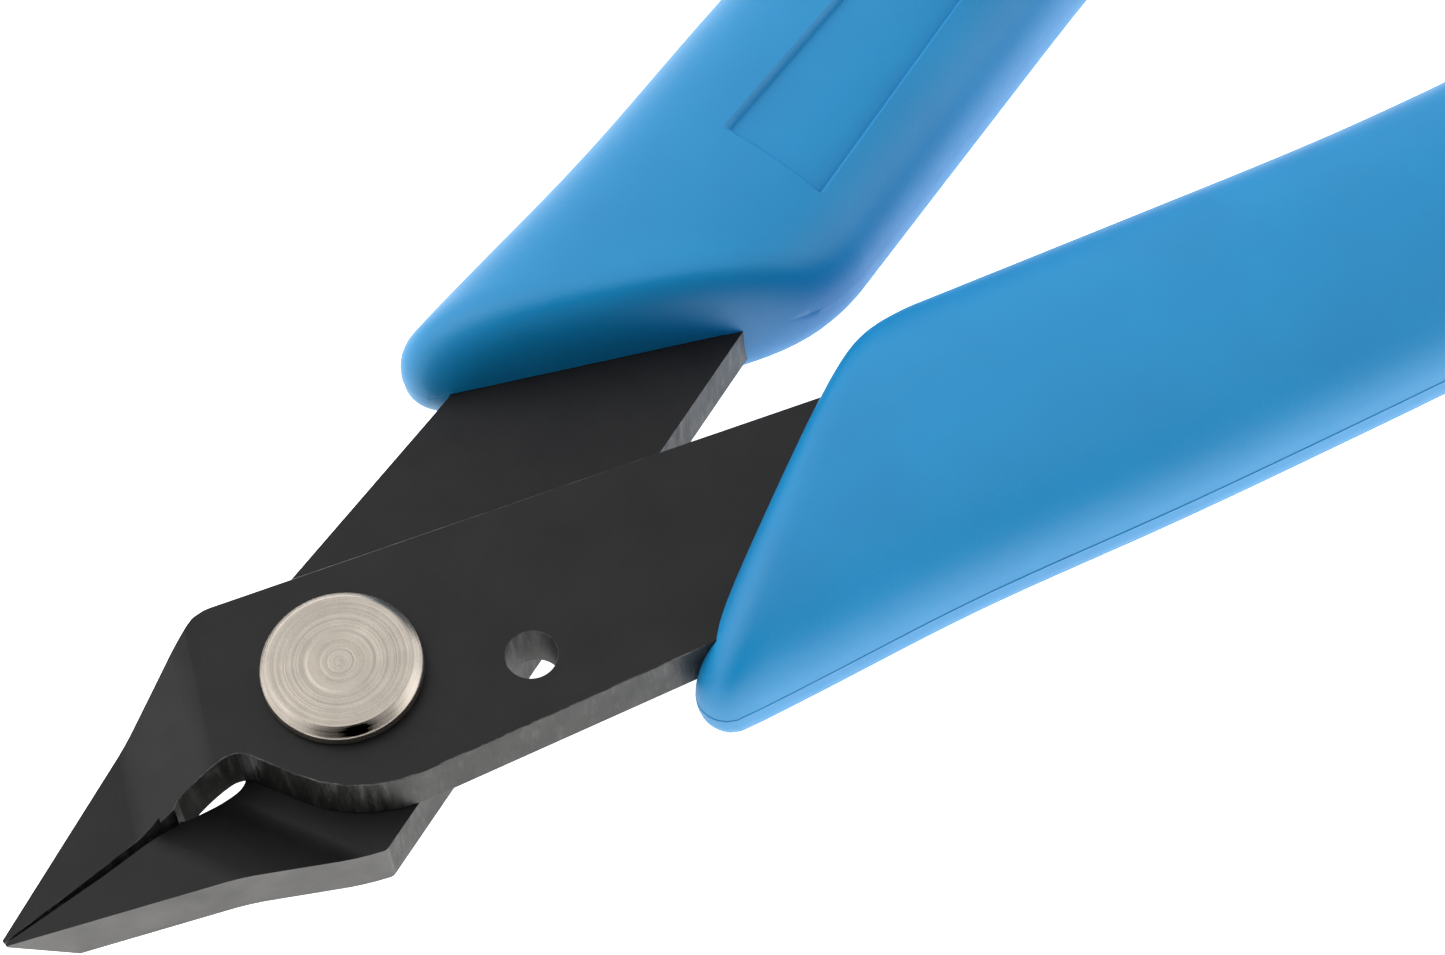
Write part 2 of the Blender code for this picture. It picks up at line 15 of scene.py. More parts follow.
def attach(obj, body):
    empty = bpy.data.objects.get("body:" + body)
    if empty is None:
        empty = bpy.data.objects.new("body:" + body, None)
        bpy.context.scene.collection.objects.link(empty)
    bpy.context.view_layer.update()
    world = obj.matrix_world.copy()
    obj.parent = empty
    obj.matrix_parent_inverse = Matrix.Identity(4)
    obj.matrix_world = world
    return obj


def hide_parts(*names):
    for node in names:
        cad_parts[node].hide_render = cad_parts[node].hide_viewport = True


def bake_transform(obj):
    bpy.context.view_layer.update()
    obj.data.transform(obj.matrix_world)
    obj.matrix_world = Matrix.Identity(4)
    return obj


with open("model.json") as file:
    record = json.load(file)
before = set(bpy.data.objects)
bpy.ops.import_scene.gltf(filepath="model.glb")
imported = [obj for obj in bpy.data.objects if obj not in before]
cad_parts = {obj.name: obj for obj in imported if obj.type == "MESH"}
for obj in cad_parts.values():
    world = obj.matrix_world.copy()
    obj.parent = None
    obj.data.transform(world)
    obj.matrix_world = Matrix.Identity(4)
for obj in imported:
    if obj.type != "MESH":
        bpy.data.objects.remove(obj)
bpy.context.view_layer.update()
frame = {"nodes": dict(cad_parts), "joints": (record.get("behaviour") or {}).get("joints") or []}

MM = 0.001
PIVOT = Vector(frame["joints"][0]["pos_m"])

# Levers: a wall is a face that tilts past WALL_LIMIT, and a ground flank is a wall of the jaw, ahead of the
# shoulder, that faces outward from the cutting line
EDGE_BREAK = 0.05
EDGE_BREAK_ANGLE = 28
LEVER_SHARP_ANGLE = 35
FACET_ANGLE = 0.6
WELD_DISTANCE = 2e-6
SHOULDER_X = -3.3
WALL_LIMIT = 0.75
FLANK_FACING = 0.2
FLANK_START = 0.18
# The broken edges get their own lighter material, a painted highlight along every edge
OXIDE, SHEARED, GROUND, EDGE_HIGHLIGHT = range(4)

# Rivet: its turned face has fine ridges, a dish and two cut rings, placed as shares of the flat's radius
RIVET_RADIUS = 4.15
RIVET_RIM_HEIGHT = 0.6
RIVET_CHAMFER = 0.45
RIVET_SEGMENTS = 160
RIVET_RINGS = (0.83, 0.90)
RIVET_ROUNDING = 0.22
RIVET_ROUNDING_ANGLES = (45, 36, 27, 18, 9, 0)
RIVET_EDGE_BREAK = 0.05
RIVET_SHANK_RADIUS = 2.3
RIVET_TAIL_RADIUS = 3.8
RIVET_TAIL_HEIGHT = 0.9
RIVET_TAIL = ((1.0, 0.0), (1.0, 0.40), (0.985, 0.58), (0.93, 0.8), (0.86, 0.93), (0.78, 1.0))
FACE_STEPS = 46
FACE_DEPTH = 0.006
FACE_EDGE = ((0.04, 0.004), (0.0, 0.03))
RIDGES = ((0.0022, 87.4), (0.0015, 61.0))
DISH_PLACE = 0.50
DISH_WIDTH = 0.035
DISH_DEPTH = 0.012
RING_WIDTH = 0.012
RING_DEPTH = 0.010
PLATE_FACE = 3.325

# Grips
SMOOTH_ANGLE = 32
HALF_THICKNESS = 5.5
SECTION_POWER = 2.5
END_ANGLE = 27.0
END_DISTANCE = 16.5
END_ROUNDING = 3.5
END_POWER = 3.0
LAND_ANGLE = math.radians(3)
NOSE_RADIUS = 1.65
CORNER_RADIUS = 7.5
OUTER_POINT = (21.0, -15.6)
OUTER_SLOPE = -0.225
WAIST_X = 28.5
WAIST_DEPTH = 0.40
WAIST_LENGTH = 9.0
INNER_POINT = (47.0, -4.95)
INNER_SLOPE = -0.285
OUTER_BEND_X = 62.0
INNER_BEND_X = 68.0
BEND_RADIUS = 180.0
TAIL_SLOPE = -0.13
BUTT_X = 106.5
BUTT_RADIUS = 6.5
FRONT_SEAT = (-0.44, 0.28)
REAR_SEAT = (0.0, 0.17)
PARTING_GROOVE = 0.05
PARTING_STEP = 0.035

# Rows of points along a grip, and points across its section outside and on the panel
END_ROWS = 14
FAN_ROWS = 30
PANEL_ROWS = 30
TAIL_ROWS = 18
OUTER_POINTS = 14
PANEL_POINTS = 12
INNER_POINTS = 12

# The plain recessed panel on one face of each grip, and where the points of its edges start at a grip's ends
PANEL_START = ((34.73, -11.4), (36.1, -4.96))
PANEL_SIDES = (-13.8, -17.8)
PANEL_ANGLE = -15.8
PANEL_LENGTH = 31.0
PANEL_DEPTH = 0.45
PANEL_RIM = 0.14
PANEL_WALL = 0.26
PANEL_RIM_SHARE = 0.28
PANEL_HALF_CHORD = 8.0
END_LIMITS = (-0.30, 0.50)

# Chords ahead of the panel: how fast they turn, and where the rounded end stops on the inner side
FAN_PACE = 2.1
INNER_ROUNDING = 0.72

# Tang inside the grip
TANG_OUTER = ((-3.78, -6.20), -14.2)
TANG_INNER = ((-3.7, 7.83), -19.3)
TANG_THICKNESS = 3.175
TANG_BOTTOM = 0.05
TANG_FIT = 0.06
TANG_MOUTH = 12.0
TANG_DEPTH = 22.0

# Return spring: its root in the front grip, its bend, and its toe past its contact with the rear lever
WIRE_RADIUS = 0.45
WIRE_LEVEL = -1.45
WIRE_SIDES = 16
WIRE_END_SHARE = 0.86
WIRE_SMOOTH_ANGLE = 40
WIRE_ROOT = (26.5, -9.6)
WIRE_BEND = (12.9, -6.4)
WIRE_BEND_RADIUS = 1.1
CONTACT_X = 17.0
CONTACT_GAP = 0.12
CONTACT_RADIUS = 0.6
TOE_SPREAD = 0.7
TOE_LENGTH = 1.6

# Studio: a patch of the tent has a direction, the angles from it in degrees where the patch starts and where
# it is whole, and how much it adds to the tent's light
CAMERA_FROM_PIVOT = Vector((-39.154, -86.913, 181.457)) * MM
CAMERA_VIEW = Vector((0.29516, 0.40312, -0.86624))
CAMERA_UP = Vector((0.57163, 0.65196, 0.49818))
CAMERA_NEAREST = 0.01
SENSOR_WIDTH = 36.0
LENS = 99.65
FLOOR_SIZE = 4
FLOOR_GLOW = 1.2
KEY_PLACE = (-0.35, 0.35, 0.6)
KEY_SIZE = (0.7, 0.7)
KEY_POWER = 1.5
TENT_LIGHT = 1.0
TENT_PATCHES = (
    ((-0.60, -0.62, 0.50), 40, 24, -0.95),
    ((0.80, -0.02, 0.58), 36, 16, -0.9),
    ((-0.6, 0.5, 0.5), 70, 20, 0.4),
    ((0.9, -0.45, 0.05), 55, 20, 1.6),
    ((0.0, -0.85, 0.5), 42, 20, -0.45),
)


def heading(degrees):
    return Vector((math.cos(math.radians(degrees)), math.sin(math.radians(degrees))))


def meeting(point_a, direction_a, point_b, direction_b):
    """The point where two lines in the plane cross."""
    a, b = Vector(point_a), Vector(point_b)
    u, v = Vector(direction_a), Vector(direction_b)
    return a + u * ((b - a).cross(v) / u.cross(v))


def rounded(corners, step):
    """A closed outline from (x, y, radius) corners, with an arc at each corner that has a radius."""
    outline = []
    for index, (x, y, radius) in enumerate(corners):
        here = Vector((x, y))
        if not radius:
            outline.append(here)
            continue
        before = (Vector(corners[index - 1][:2]) - here).normalized()
        after = (Vector(corners[(index + 1) % len(corners)][:2]) - here).normalized()
        half = before.angle(after) / 2
        centre = here + (before + after).normalized() * radius / math.sin(half)
        start = here + before * radius / math.tan(half) - centre
        turn = math.pi - 2 * half
        if start.cross(here + after * radius / math.tan(half) - centre) < 0:
            turn = -turn
        count = max(2, math.ceil(abs(math.degrees(turn)) / step))
        for i in range(count + 1):
            outline.append(centre + Matrix.Rotation(turn * i / count, 2) @ start)
    return outline


def into_object(name, builder):
    """A linked object, in metres, from a bmesh in millimetres about the pivot, which is used up."""
    bmesh.ops.recalc_face_normals(builder, faces=builder.faces)
    bmesh.ops.scale(builder, vec=(MM, MM, MM), verts=builder.verts)
    bmesh.ops.translate(builder, vec=PIVOT, verts=builder.verts)
    mesh = bpy.data.meshes.new(name)
    builder.to_mesh(mesh)
    builder.free()
    obj = bpy.data.objects.new(name, mesh)
    bpy.context.scene.collection.objects.link(obj)
    return obj


def apply_modifiers(obj):
    graph = bpy.context.evaluated_depsgraph_get()
    mesh = bpy.data.meshes.new_from_object(obj.evaluated_get(graph))
    obj.modifiers.clear()
    obj.data = mesh


def settle(obj, smooth_angle):
    """Turns the object's modifiers into its mesh, shaded smooth up to the angle."""
    apply_modifiers(obj)
    obj.data.shade_smooth()
    obj.data.set_sharp_from_angle(angle=math.radians(smooth_angle))


def skin(builder, rings):
    """Faces from each ring of points to the next, and a cap on the first and the last ring."""
    count = len(rings[0])
    for near, far in zip(rings, rings[1:]):
        for i in range(count):
            j = (i + 1) % count
            builder.faces.new([near[i], near[j], far[j], far[i]])
    builder.faces.new(rings[0])
    builder.faces.new(rings[-1])


# --- Grips ----------------------------------------------------------------------------------------------


def grip_sides():
    """The outer and inner edges of a grip as dense paths from its slanted front end to its butt."""
    end_way, tail_way = heading(END_ANGLE), Vector((1, TAIL_SLOPE))
    outer_way, inner_way = Vector((1, OUTER_SLOPE)), Vector((1, INNER_SLOPE))
    end_point = Vector((end_way.y, -end_way.x)) * END_DISTANCE
    butt_way = Vector((TAIL_SLOPE, -1))
    nose = meeting(end_point, end_way, OUTER_POINT, outer_way)
    front = meeting(end_point, end_way, INNER_POINT, inner_way)
    outer_bend = Vector(OUTER_POINT) + outer_way * (OUTER_BEND_X - OUTER_POINT[0])
    inner_bend = Vector(INNER_POINT) + inner_way * (INNER_BEND_X - INNER_POINT[0])
    middle = (outer_bend + inner_bend) / 2
    butt_point = middle + tail_way * (BUTT_X - middle.x)
    outer_butt = meeting(outer_bend, tail_way, butt_point, butt_way)
    inner_butt = meeting(inner_bend, tail_way, butt_point, butt_way)
    outline = rounded(
        [
            (*nose, NOSE_RADIUS),
            (*outer_bend, BEND_RADIUS),
            (*outer_butt, BUTT_RADIUS),
            (*inner_butt, BUTT_RADIUS),
            (*inner_bend, BEND_RADIUS),
            (*front, CORNER_RADIUS),
        ],
        step=1.0,
    )
    near_outer_butt = [(point - outer_butt).length < (point - inner_butt).length for point in outline]
    butt_start = max(i for i, near in enumerate(near_outer_butt) if near) + 1
    outer, inner = dense(outline[:butt_start]), dense(outline[:butt_start - 1:-1])
    for point in outer:
        point.y += WAIST_DEPTH * math.exp(-(((point.x - WAIST_X) / WAIST_LENGTH) ** 2))
    return outer, inner


def dense(path, step=0.5):
    """The path with extra points, so that no gap is longer than the step."""
    route = [path[0].copy()]
    for point in path[1:]:
        start = route[-1]
        steps = max(1, math.ceil((point - start).length / step))
        route += [start.lerp(point, i / steps) for i in range(1, steps + 1)]
    return route


def crossing(path, point, way):
    """Where a path first crosses the line through point, as a distance along the path."""
    normal = Vector((way.y, -way.x))
    travelled = 0.0
    for near, far in zip(path, path[1:]):
        a, b = (near - point).dot(normal), (far - point).dot(normal)
        length = (far - near).length
        if a * b <= 0 and a != b:
            return travelled + length * a / (a - b)
        travelled += length
    return 0.0


def at_distance(path, distance):
    """The point that far along a path."""
    for near, far in zip(path, path[1:]):
        length = (far - near).length
        if distance <= length:
            return near.lerp(far, distance / length if length else 0)
        distance -= length
    return path[-1].copy()


def end_slices(outer, inner, count):
    """Chords parallel to an end face, with the share of full thickness that each has.

    A chord is a pair of distances, along the outer and the inner path.
    """
    across = inner[0] - outer[0]
    inward = Vector((across.y, -across.x)).normalized()
    if inward.dot(outer[len(outer) // 2] - outer[0]) < 0:
        inward.negate()
    slices = []
    land = 1 - math.cos(LAND_ANGLE) ** (2 / END_POWER)
    for i in range(count + 1):
        angle = LAND_ANGLE + (math.pi / 2 - LAND_ANGLE) * i / count
        depth = 1 - max(0.0, math.cos(angle)) ** (2 / END_POWER) - land
        point = outer[0] + inward * max(depth, 1e-6) * END_ROUNDING
        share = math.sin(angle) ** (2 / END_POWER)
        slices.append((crossing(outer, point, across), crossing(inner, point, across), share))
    return slices


def grip_chords():
    """(outer point, inner point, thickness share, panel weight) for each station along a grip.

    The panel weight is negative outside the panel, 0 on its end edges and 1 on its floor.
    """
    outer, inner = grip_sides()
    total_outer = sum((b - a).length for a, b in zip(outer, outer[1:]))
    total_inner = sum((b - a).length for a, b in zip(inner, inner[1:]))
    front = end_slices(outer, inner, END_ROWS)
    butt = [
        (total_outer - near, total_inner - far, share)
        for near, far, share in end_slices(outer[::-1], inner[::-1], END_ROWS)
    ][::-1]
    panel_way = heading(PANEL_ANGLE)
    edge_way = Vector(PANEL_START[1]) - Vector(PANEL_START[0])
    panel = []
    floor_length = PANEL_LENGTH - 2 * PANEL_WALL
    places = [(0.0, 0.0), (PANEL_RIM, PANEL_RIM_SHARE), (PANEL_WALL, 1.0)]
    places += [(PANEL_WALL + floor_length * i / PANEL_ROWS, 1.0) for i in range(1, PANEL_ROWS)]
    places += [(PANEL_LENGTH - place, weight) for place, weight in places[2::-1]]
    for place, weight in places:
        point = Vector(PANEL_START[0]) + panel_way * place
        panel.append((crossing(outer, point, edge_way), crossing(inner, point, edge_way), 1.0, weight))
    ahead = Vector(PANEL_START[0]) - panel_way
    arrivals = panel[0][:2]
    rates = [arrival - crossing(path, ahead, edge_way) for path, arrival in zip((outer, inner), arrivals)]
    turn = INNER_ROUNDING * arrivals[1] / front[-1][1]
    front = [(near, far * turn, share) for near, far, share in front]
    rows = [(*row, -1.0) for row in front]
    rows += fanned(front, arrivals, rates, FAN_ROWS)
    rows += panel
    rows += between(panel[-1], butt[0], TAIL_ROWS)
    rows += [(*row, -1.0) for row in butt]
    return [(at_distance(outer, a), at_distance(inner, b), share, weight) for a, b, share, weight in rows]


def fanned(ends, arrivals, rates, count):
    """Chords that turn smoothly from the end face's direction to that of the panel's front edge."""
    last, previous = ends[-1], ends[-2]
    leaving = [last[side] - previous[side] for side in (0, 1)]
    gap = arrivals[1] - last[1]
    leave, arrive = FAN_PACE * gap / leaving[1], FAN_PACE * gap / rates[1]
    rows = []
    for i in range(1, count):
        share = i / count
        square, cube = share ** 2, share ** 3
        row = []
        for side in (0, 1):
            eased = last[side] + (arrivals[side] - last[side]) * (3 * square - 2 * cube)
            eased += leaving[side] * leave * (cube - 2 * square + share)
            eased += rates[side] * arrive * (cube - square)
            row.append(eased)
        rows.append((*row, 1.0, -1.0))
    return rows


def between(first, last, count):
    """Evenly spaced chords of full thickness between two chords."""
    rows = []
    for i in range(1, count):
        share = i / count
        near, far = [first[side] + (last[side] - first[side]) * share for side in (0, 1)]
        rows.append((near, far, 1.0, -1.0))
    return rows


def panel_limits(outer, inner):
    """Where a chord crosses the panel's long edges, as shares from -1 at its outer to 1 at its inner end."""
    shares = []
    for corner, angle in zip(PANEL_START, PANEL_SIDES):
        crossed = meeting(outer, inner - outer, corner, heading(angle))
        shares.append(2 * (crossed - outer).dot(inner - outer) / (inner - outer).length_squared - 1)
    return shares


def across_shares(low, high):
    """Shares across a chord for one row of points, with the panel's edges among them, and their depths."""
    turn = 2 / SECTION_POWER
    low_angle = math.acos(min(1.0, abs(low)) ** (SECTION_POWER / 2))
    high_angle = math.acos(min(1.0, abs(high)) ** (SECTION_POWER / 2))
    shares = [(-math.cos(low_angle * i / OUTER_POINTS) ** turn, 0.0) for i in range(1, OUTER_POINTS)]
    rim, wall = PANEL_RIM / PANEL_HALF_CHORD, PANEL_WALL / PANEL_HALF_CHORD
    floor_width = high - low - 2 * wall
    shares += [(low, 0.0), (low + rim, PANEL_RIM_SHARE), (low + wall, 1.0)]
    shares += [(low + wall + floor_width * i / PANEL_POINTS, 1.0) for i in range(1, PANEL_POINTS)]
    shares += [(high - wall, 1.0), (high - rim, PANEL_RIM_SHARE), (high, 0.0)]
    shares += [(math.cos(high_angle * i / INNER_POINTS) ** turn, 0.0) for i in range(INNER_POINTS - 1, 0, -1)]
    return shares


def grip_shape():
    """The moulding with its parting line, and its panel on the lower face."""
    builder = bmesh.new()
    chords = grip_chords()
    panel_rows = [i for i, chord in enumerate(chords) if chord[3] >= 0]
    first_limits = panel_limits(*chords[panel_rows[0]][:2])
    last_limits = panel_limits(*chords[panel_rows[-1]][:2])
    groove = PARTING_GROOVE / 2
    rings = []
    for index, (outer, inner, share, weight) in enumerate(chords):
        if index < panel_rows[0]:
            blend = (index / panel_rows[0]) ** 2
            low, high = [plain + (limit - plain) * blend for plain, limit in zip(END_LIMITS, first_limits)]
        elif index > panel_rows[-1]:
            blend = ((len(chords) - 1 - index) / (len(chords) - 1 - panel_rows[-1])) ** 2
            low, high = [plain + (limit - plain) * blend for plain, limit in zip(END_LIMITS, last_limits)]
        else:
            low, high = panel_limits(outer, inner)
        centre, reach = (outer + inner) / 2, (inner - outer) / 2
        side = reach.normalized()
        height = HALF_THICKNESS * share
        top, bottom = [], []
        for t, depth in across_shares(low, high):
            rise = height * max(0.0, 1 - abs(t) ** SECTION_POWER) ** (1 / SECTION_POWER)
            spot = centre + reach * t
            top.append((spot.x, spot.y, max(rise, groove)))
            sunk = PANEL_DEPTH * min(depth, weight) if weight > 0 else 0.0
            spot = spot + side * PARTING_STEP * t
            bottom.append((spot.x, spot.y, -max(rise - sunk, groove)))
        rims = []
        for t in (1, -1):
            upper, lower = centre + reach * t, centre + (reach + side * PARTING_STEP) * t
            low_in = upper - side * PARTING_GROOVE * t
            rims.append(((upper.x, upper.y, groove), (low_in.x, low_in.y, 0.0), (lower.x, lower.y, -groove)))
        loop = top + list(rims[0]) + bottom[::-1] + list(rims[1])[::-1]
        rings.append([builder.verts.new(point) for point in loop])
    skin(builder, rings)
    return builder


def tang_room():
    """The tang's place in the mouth of a grip."""
    outer_way, inner_way = heading(TANG_OUTER[1]), heading(TANG_INNER[1])
    fit = Vector((0, TANG_FIT))
    outer_near = Vector(TANG_OUTER[0]) + outer_way * TANG_MOUTH - fit
    outer_far = Vector(TANG_OUTER[0]) + outer_way * (TANG_MOUTH + TANG_DEPTH) - fit
    inner_near = Vector(TANG_INNER[0]) + inner_way * TANG_MOUTH + fit
    inner_far = Vector(TANG_INNER[0]) + inner_way * (TANG_MOUTH + TANG_DEPTH) + fit
    builder = bmesh.new()
    bottom, top = TANG_BOTTOM - TANG_FIT, TANG_BOTTOM + TANG_THICKNESS + TANG_FIT
    base = builder.faces.new([
        builder.verts.new((x, y, bottom)) for x, y in (outer_near, outer_far, inner_far, inner_near)
    ])
    lifted = bmesh.ops.extrude_face_region(builder, geom=[base])
    verts = [item for item in lifted["geom"] if isinstance(item, bmesh.types.BMVert)]
    bmesh.ops.translate(builder, verts=verts, vec=(0, 0, top - bottom))
    return builder


def make_grip(name, node, body, seat, turned, material):
    """A grip in its seat on its tang, turned over if it is the rear one."""
    shape, room = grip_shape(), tang_room()
    half_turn = Matrix.Rotation(math.pi, 3, "X")
    if turned:
        for builder in (shape, room):
            bmesh.ops.rotate(builder, verts=builder.verts, cent=(0, 0, 0), matrix=half_turn)
    bmesh.ops.translate(shape, verts=shape.verts, vec=(*seat, 0))
    grip = into_object(name, shape)
    cutter = into_object(name + "_mouth", room)
    modifier = grip.modifiers.new("mouth", "BOOLEAN")
    modifier.operation = "DIFFERENCE"
    modifier.solver = "EXACT"
    modifier.object = cutter
    settle(grip, SMOOTH_ANGLE)
    bpy.data.objects.remove(cutter)
    grip.data.materials.clear()
    grip.data.materials.append(material)
    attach(grip, body)
    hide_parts(node)


# --- Levers ---------------------------------------------------------------------------------------------


def make_lever(name, node, body, materials):
    """The frame's lever with its edges broken, and its sheared and ground walls in their own materials."""
    builder = bmesh.new()
    builder.from_mesh(frame["nodes"][node].data)
    bmesh.ops.remove_doubles(builder, verts=builder.verts, dist=WELD_DISTANCE)
    bmesh.ops.dissolve_limit(
        builder, angle_limit=math.radians(FACET_ANGLE), verts=builder.verts, edges=builder.edges,
    )
    mesh = bpy.data.meshes.new(name)
    builder.to_mesh(mesh)
    builder.free()
    lever = bpy.data.objects.new(name, mesh)
    bpy.context.scene.collection.objects.link(lever)
    mesh.materials.clear()
    for material in materials:
        mesh.materials.append(material)
    side = 1 if body == "front_half" else -1
    for face in mesh.polygons:
        centre = (face.center - PIVOT) / MM
        outside = face.normal.y * side > FLANK_FACING and centre.y * side > FLANK_START
        face.material_index = OXIDE
        if abs(face.normal.z) < WALL_LIMIT:
            face.material_index = GROUND if outside and centre.x < SHOULDER_X else SHEARED
    bevel = lever.modifiers.new("edge_break", "BEVEL")
    bevel.width = EDGE_BREAK * MM
    bevel.segments = 2
    bevel.limit_method = "ANGLE"
    bevel.angle_limit = math.radians(EDGE_BREAK_ANGLE)
    # The bevel's faces take the lighter edge material, a painted highlight along each broken edge
    bevel.material = EDGE_HIGHLIGHT
    bevel.harden_normals = True
    mesh.shade_smooth()
    mesh.set_sharp_from_angle(angle=math.radians(LEVER_SHARP_ANGLE))
    lever.modifiers.new("flat_faces", "WEIGHTED_NORMAL").keep_sharp = True
    apply_modifiers(lever)
    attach(lever, body)
    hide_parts(node)


# --- Rivet ----------------------------------------------------------------------------------------------


def rivet_profile():
    """(radius, height) points of the rivet from its face's centre out, down the shank and round the tail."""
    rim = PLATE_FACE + RIVET_RIM_HEIGHT
    top = rim + RIVET_CHAMFER
    flat = RIVET_RADIUS - RIVET_CHAMFER
    profile = [(0, top)]
    for i in range(1, FACE_STEPS):
        share = i / FACE_STEPS
        ridge = sum(rise * math.sin(share * pace) for rise, pace in RIDGES)
        dish = -DISH_DEPTH * math.exp(-(((share - DISH_PLACE) / DISH_WIDTH) ** 2))
        rings = -RING_DEPTH * sum(math.exp(-(((share - at) / RING_WIDTH) ** 2)) for at in RIVET_RINGS)
        profile.append((flat * share, top - FACE_DEPTH + ridge + dish + rings))
    profile += [(flat - inset, top - drop) for inset, drop in FACE_EDGE]
    profile.append((flat + RIVET_CHAMFER / 2, rim + RIVET_CHAMFER / 2))
    centre = (RIVET_RADIUS - RIVET_ROUNDING, rim - RIVET_ROUNDING * math.tan(math.radians(22.5)))
    for angle in RIVET_ROUNDING_ANGLES:
        way = heading(angle) * RIVET_ROUNDING
        profile.append((centre[0] + way.x, centre[1] + way.y))
    profile += [(RIVET_RADIUS, PLATE_FACE + RIVET_EDGE_BREAK), (RIVET_RADIUS - RIVET_EDGE_BREAK, PLATE_FACE)]
    profile += [(RIVET_SHANK_RADIUS, PLATE_FACE), (RIVET_SHANK_RADIUS, -PLATE_FACE)]
    for across, down in RIVET_TAIL:
        profile.append((RIVET_TAIL_RADIUS * across, -PLATE_FACE - RIVET_TAIL_HEIGHT * down))
    profile.append((0, -PLATE_FACE - RIVET_TAIL_HEIGHT))
    return profile


def make_rivet(material):
    """The rivet as its profile turned about the pivot's axis."""
    builder = bmesh.new()
    rings = []
    for radius, height in rivet_profile():
        if radius == 0:
            rings.append([builder.verts.new((0, 0, height))])
            continue
        rings.append([
            builder.verts.new((*(heading(360 * i / RIVET_SEGMENTS) * radius), height))
            for i in range(RIVET_SEGMENTS)
        ])
    for upper, lower in zip(rings, rings[1:]):
        for i in range(RIVET_SEGMENTS):
            j = (i + 1) % RIVET_SEGMENTS
            corners = [ring[k % len(ring)] for ring, k in ((upper, i), (upper, j), (lower, j), (lower, i))]
            builder.faces.new(list(dict.fromkeys(corners)))
    rivet = into_object("turned_rivet", builder)
    settle(rivet, SMOOTH_ANGLE)
    rivet.data.materials.append(material)
    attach(rivet, "front_half")
    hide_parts("pivot_rivet")


# --- Spring ---------------------------------------------------------------------------------------------


def make_spring(material):
    """The wire with its root in the front grip and its free leg on the rear lever's edge."""
    inner_way = heading(-TANG_INNER[1])
    away = Vector((inner_way.y, -inner_way.x))
    shoulder = Vector((TANG_INNER[0][0], -TANG_INNER[0][1]))
    touched = shoulder + inner_way * (CONTACT_X - shoulder.x) / inner_way.x
    contact = touched + away * (WIRE_RADIUS + CONTACT_GAP)
    toe = contact + (inner_way + away * TOE_SPREAD).normalized() * TOE_LENGTH
    corners = [(*WIRE_ROOT, 0), (*WIRE_BEND, WIRE_BEND_RADIUS), (*contact, CONTACT_RADIUS), (*toe, 0)]
    route = dense(rounded(corners, step=8.0), step=0.4)
    builder = bmesh.new()
    rings = []
    for index, point in enumerate(route):
        before, after = route[max(0, index - 1)], route[min(len(route) - 1, index + 1)]
        way = (after - before).normalized()
        side = Vector((-way.y, way.x))
        edge = min(index, len(route) - 1 - index)
        radius = WIRE_RADIUS * (WIRE_END_SHARE if edge == 0 else 1.0)
        ring = []
        for i in range(WIRE_SIDES):
            turn = heading(360 * i / WIRE_SIDES) * radius
            spot = point + side * turn.x
            ring.append(builder.verts.new((spot.x, spot.y, WIRE_LEVEL + turn.y)))
        rings.append(ring)
    skin(builder, rings)
    spring = into_object("spring_wire", builder)
    settle(spring, WIRE_SMOOTH_ANGLE)
    spring.data.materials.append(material)
    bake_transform(spring)
    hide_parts("return_spring")


# --- Materials ------------------------------------------------------------------------------------------


class Look:
    """A Principled material, and helpers that add nodes to it and return what they put out."""

    def __init__(self, name, color, roughness, metallic):
        self.material = bpy.data.materials.new(name)
        self.material.use_nodes = True
        self.tree = self.material.node_tree
        self.shader = self.tree.nodes["Principled BSDF"]
        self.set("Base Color", (*color, 1.0))
        self.set("Roughness", roughness)
        self.set("Metallic", metallic)
        self.place = self.tree.nodes.new("ShaderNodeTexCoord").outputs["Object"]

    def set(self, socket, value):
        self.shader.inputs[socket].default_value = value

    def link(self, output, socket):
        self.tree.links.new(output, socket)

    def stretched(self, scale, location=(0, 0, 0)):
        node = self.tree.nodes.new("ShaderNodeMapping")
        node.inputs["Scale"].default_value = scale
        node.inputs["Location"].default_value = location
        self.link(self.place, node.inputs["Vector"])
        return node.outputs["Vector"]

    def noise(self, scale, detail=2.0, vector=None, roughness=0.5):
        node = self.tree.nodes.new("ShaderNodeTexNoise")
        node.inputs["Scale"].default_value = scale
        node.inputs["Detail"].default_value = detail
        node.inputs["Roughness"].default_value = roughness
        self.link(vector or self.place, node.inputs["Vector"])
        return node.outputs["Fac"]

    def ramp(self, value, stops):
        node = self.tree.nodes.new("ShaderNodeValToRGB")
        while len(node.color_ramp.elements) < len(stops):
            node.color_ramp.elements.new(0.5)
        for element, (position, color) in zip(node.color_ramp.elements, stops):
            element.position = position
            element.color = (*color, 1.0)
        self.link(value, node.inputs["Fac"])
        return node.outputs["Color"]

    def grey(self, value, low, high, start=0.0, end=1.0):
        node = self.tree.nodes.new("ShaderNodeMapRange")
        for socket, number in (("From Min", start), ("From Max", end), ("To Min", low), ("To Max", high)):
            node.inputs[socket].default_value = number
        self.link(value, node.inputs["Value"])
        return node.outputs["Result"]

    def math(self, operation, a, b):
        node = self.tree.nodes.new("ShaderNodeMath")
        node.operation = operation
        for socket, item in zip(node.inputs, (a, b)):
            if isinstance(item, (int, float)):
                socket.default_value = item
            else:
                self.link(item, socket)
        return node.outputs["Value"]

    def bump(self, height, distance, strength=1.0, below=None):
        node = self.tree.nodes.new("ShaderNodeBump")
        node.inputs["Distance"].default_value = distance
        node.inputs["Strength"].default_value = strength
        self.link(height, node.inputs["Height"])
        if below:
            self.link(below, node.inputs["Normal"])
        return node.outputs["Normal"]


